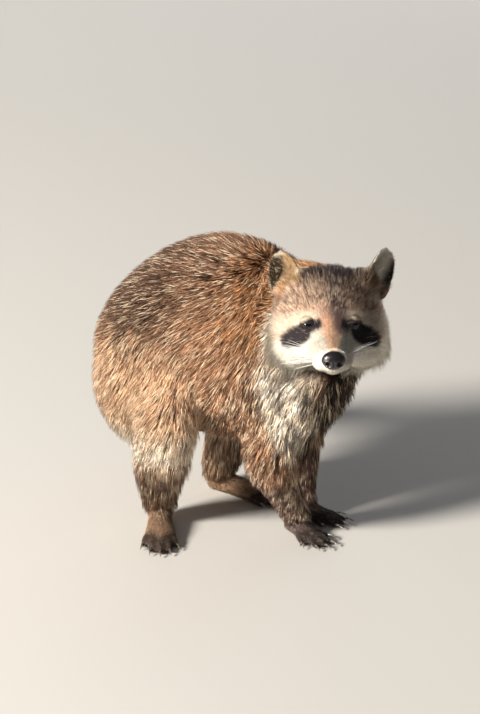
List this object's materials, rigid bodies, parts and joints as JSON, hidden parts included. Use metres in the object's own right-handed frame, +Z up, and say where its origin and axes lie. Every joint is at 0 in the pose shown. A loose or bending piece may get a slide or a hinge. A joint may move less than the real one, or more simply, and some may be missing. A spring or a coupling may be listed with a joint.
{
  "type": "raccoon",
  "caption": "Life-size raccoon standing on four feet, back arched, head turned to its right; a still model.",
  "frame": {"origin": "on the floor, under the middle of the model's box", "axes": "the animal faces -Y, its left is +X and +Z is up"},
  "size_m": [0.3268, 0.3846, 0.336],
  "materials": {
    "coat": "grizzled guard hair, brown and tan",
    "pale_fur": "short pale fur",
    "leg_fur": "short dark fur",
    "paw_skin": "thin fur over bare skin",
    "tail_fur": "long fur, ringed",
    "nose_skin": "moist bare skin",
    "eye": "wet and glossy",
    "claw": "horn"
  },
  "bodies": {
    "root": {"belly": "coat", "chest": "coat", "claw_fore_left_1": "claw", "claw_fore_left_2": "claw", "claw_fore_left_3": "claw", "claw_fore_left_4": "claw", "claw_fore_left_5": "claw", "claw_fore_right_1": "claw", "claw_fore_right_2": "claw", "claw_fore_right_3": "claw", "claw_fore_right_4": "claw", "claw_fore_right_5": "claw", "claw_hind_left_1": "claw", "claw_hind_left_2": "claw", "claw_hind_left_3": "claw", "claw_hind_left_4": "claw", "claw_hind_left_5": "claw", "claw_hind_right_1": "claw", "claw_hind_right_2": "claw", "claw_hind_right_3": "claw", "claw_hind_right_4": "claw", "claw_hind_right_5": "claw", "ear_left": "pale_fur", "ear_right": "pale_fur", "eye_left": "eye", "eye_right": "eye", "fore_paw_left": "paw_skin", "fore_paw_right": "paw_skin", "forearm_left": "leg_fur", "forearm_right": "leg_fur", "head": "coat", "hind_foot_left": "paw_skin", "hind_foot_right": "paw_skin", "lower_jaw": "pale_fur", "muzzle": "pale_fur", "neck": "coat", "nose": "nose_skin", "rump": "coat", "shank_left": "leg_fur", "shank_right": "leg_fur", "tail_1": "tail_fur", "tail_2": "tail_fur", "tail_3": "tail_fur", "tail_4": "tail_fur", "thigh_left": "coat", "thigh_right": "coat", "upper_arm_left": "coat", "upper_arm_right": "coat"}
  },
  "joints": []
}
